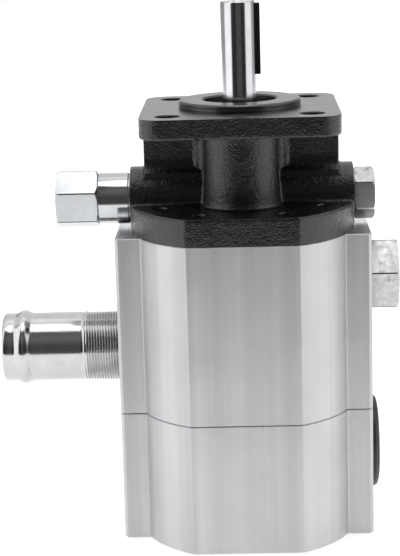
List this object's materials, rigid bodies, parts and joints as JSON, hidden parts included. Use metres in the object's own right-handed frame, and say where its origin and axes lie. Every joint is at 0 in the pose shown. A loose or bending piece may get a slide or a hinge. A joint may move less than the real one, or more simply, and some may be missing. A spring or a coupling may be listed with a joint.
{
  "type": "hydraulic gear pump",
  "caption": "Two-stage hydraulic gear pump: black cast front cover with square flange, pilot and keyed shaft, aluminium housings, inlet tube, unloading valve and outlet port.",
  "frame": {"origin": "on the drive shaft's axis, in the plane of the mounting flange's front face", "axes": "+Z out along the drive shaft, +X towards the check valve plug and outlet port, -Y the side of the pump nearest the drive shaft"},
  "size_m": [0.1507, 0.0975, 0.2001],
  "materials": {
    "cast_iron_black": "cast surface painted satin black",
    "seal_rubber": "matte moulded nitrile",
    "spring_steel": "oiled spring steel",
    "bushing_bronze": "turned bearing bronze",
    "ground_steel": "ground and polished",
    "black_steel": "black oxide",
    "gear_steel": "hobbed and ground",
    "cast_aluminium": "machined casting",
    "extruded_aluminium": "natural extrusion with milled pads",
    "bright_zinc": "bright zinc plating",
    "dull_zinc": "dull mottled zinc plating",
    "washer_steel": "annealed steel",
    "black_plastic": "moulded polyethylene"
  },
  "bodies": {
    "housing": {"front_cover": "cast_iron_black", "shaft_seal": "seal_rubber", "seal_retaining_ring": "spring_steel", "front_bushing": "bushing_bronze", "front_bearing_block": "cast_aluminium", "first_stage_bushings": "bushing_bronze", "first_stage_wear_plate": "bushing_bronze", "middle_bushings": "bushing_bronze", "second_stage_wear_plate": "bushing_bronze", "rear_bearing_block": "cast_aluminium", "rear_bushings": "bushing_bronze", "upper_housing": "extruded_aluminium", "lower_housing": "extruded_aluminium", "body_seals": "seal_rubber", "passage_seals": "seal_rubber", "dowel_pins": "ground_steel", "housing_bolts": "black_steel", "unloader_plug": "bright_zinc", "unloader_plug_seal": "washer_steel", "unloader_cap": "bright_zinc", "adjusting_screw": "spring_steel", "lock_nut": "bright_zinc", "spring_seat": "spring_steel", "unloader_spring": "spring_steel", "crossbore_plug": "dull_zinc", "crossbore_plug_seal": "washer_steel", "check_valve_plug": "dull_zinc", "check_valve_seal": "washer_steel", "check_valve_spring": "spring_steel", "inlet_tube": "bright_zinc"},
    "drive_shaft": {"drive_shaft": "ground_steel", "shaft_key": "black_steel", "first_stage_drive_gear": "gear_steel", "second_stage_drive_gear": "gear_steel", "drive_gear_keys": "black_steel"},
    "driven_gears": {"idler_shaft": "ground_steel", "first_stage_driven_gear": "gear_steel", "second_stage_driven_gear": "gear_steel", "driven_gear_keys": "black_steel"},
    "unloader_spool": {"unloader_spool": "ground_steel"},
    "check_poppet": {"check_valve_poppet": "ground_steel"},
    "outlet_cap": {"outlet_port_cap": "black_plastic"}
  },
  "joints": [
    {"name": "drive_shaft_spin", "type": "hinge", "parent": "housing", "child": "drive_shaft", "pos_m": [0, 0, 0], "axis": [0, 0, 1], "continuous": true},
    {"name": "driven_gears_spin", "type": "hinge", "parent": "housing", "child": "driven_gears", "pos_m": [0, 0.033, -0.09], "axis": [0, 0, 1], "continuous": true},
    {"name": "unloader_spool_slide", "type": "slide", "parent": "housing", "child": "unloader_spool", "axis": [-1, 0, 0], "range_m": [0, 0.005], "stiffness_N_per_m": 2000, "springref_m": -0.002, "deforming": ["unloader_spring"]},
    {"name": "check_poppet_slide", "type": "slide", "parent": "housing", "child": "check_poppet", "axis": [1, 0, 0], "range_m": [0, 0.003], "stiffness_N_per_m": 500, "springref_m": -0.001, "deforming": ["check_valve_spring"]},
    {"name": "outlet_cap_pull", "type": "slide", "parent": "housing", "child": "outlet_cap", "axis": [1, 0, 0], "range_m": [0, 0.03]}
  ],
  "couplings": [
    {"joint": "driven_gears_spin", "follows": "drive_shaft_spin", "ratio": -1}
  ]
}
